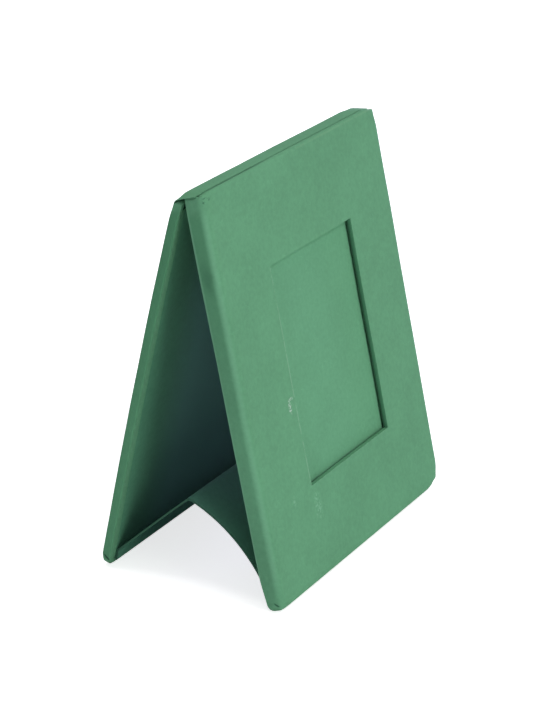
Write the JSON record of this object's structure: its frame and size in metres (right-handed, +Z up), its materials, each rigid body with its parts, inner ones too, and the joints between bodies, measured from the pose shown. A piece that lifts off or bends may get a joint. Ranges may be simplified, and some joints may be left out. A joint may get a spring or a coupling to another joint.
{
  "type": "photo frame",
  "caption": "Small tent-shaped photo frame of greyboard covered in paper: thick front panel with a portrait window, thinner stand panel behind it, and a folded paper gusset between the feet.",
  "frame": {"origin": "on the floor, at the middle of the footprint", "axes": "+Z up, +X to the right of someone who looks at the window, -Y the way the window faces"},
  "size_m": [0.108, 0.0616, 0.1214],
  "materials": {
    "cover_paper": "matte handmade paper, green",
    "inner_paper": "matte paper, green, slightly darker",
    "greyboard": "raw grey bookbinding board"
  },
  "bodies": {
    "root": {"window_board": "greyboard", "slot_spacer_left": "greyboard", "slot_spacer_right": "greyboard", "slot_spacer_bottom": "greyboard", "backing_board": "greyboard", "slot_lining": "cover_paper", "front_cover": "cover_paper", "front_liner": "inner_paper", "stand_board": "greyboard", "stand_cover": "cover_paper", "stand_liner": "inner_paper", "hinge_strip": "inner_paper", "gusset": "inner_paper"}
  },
  "joints": []
}
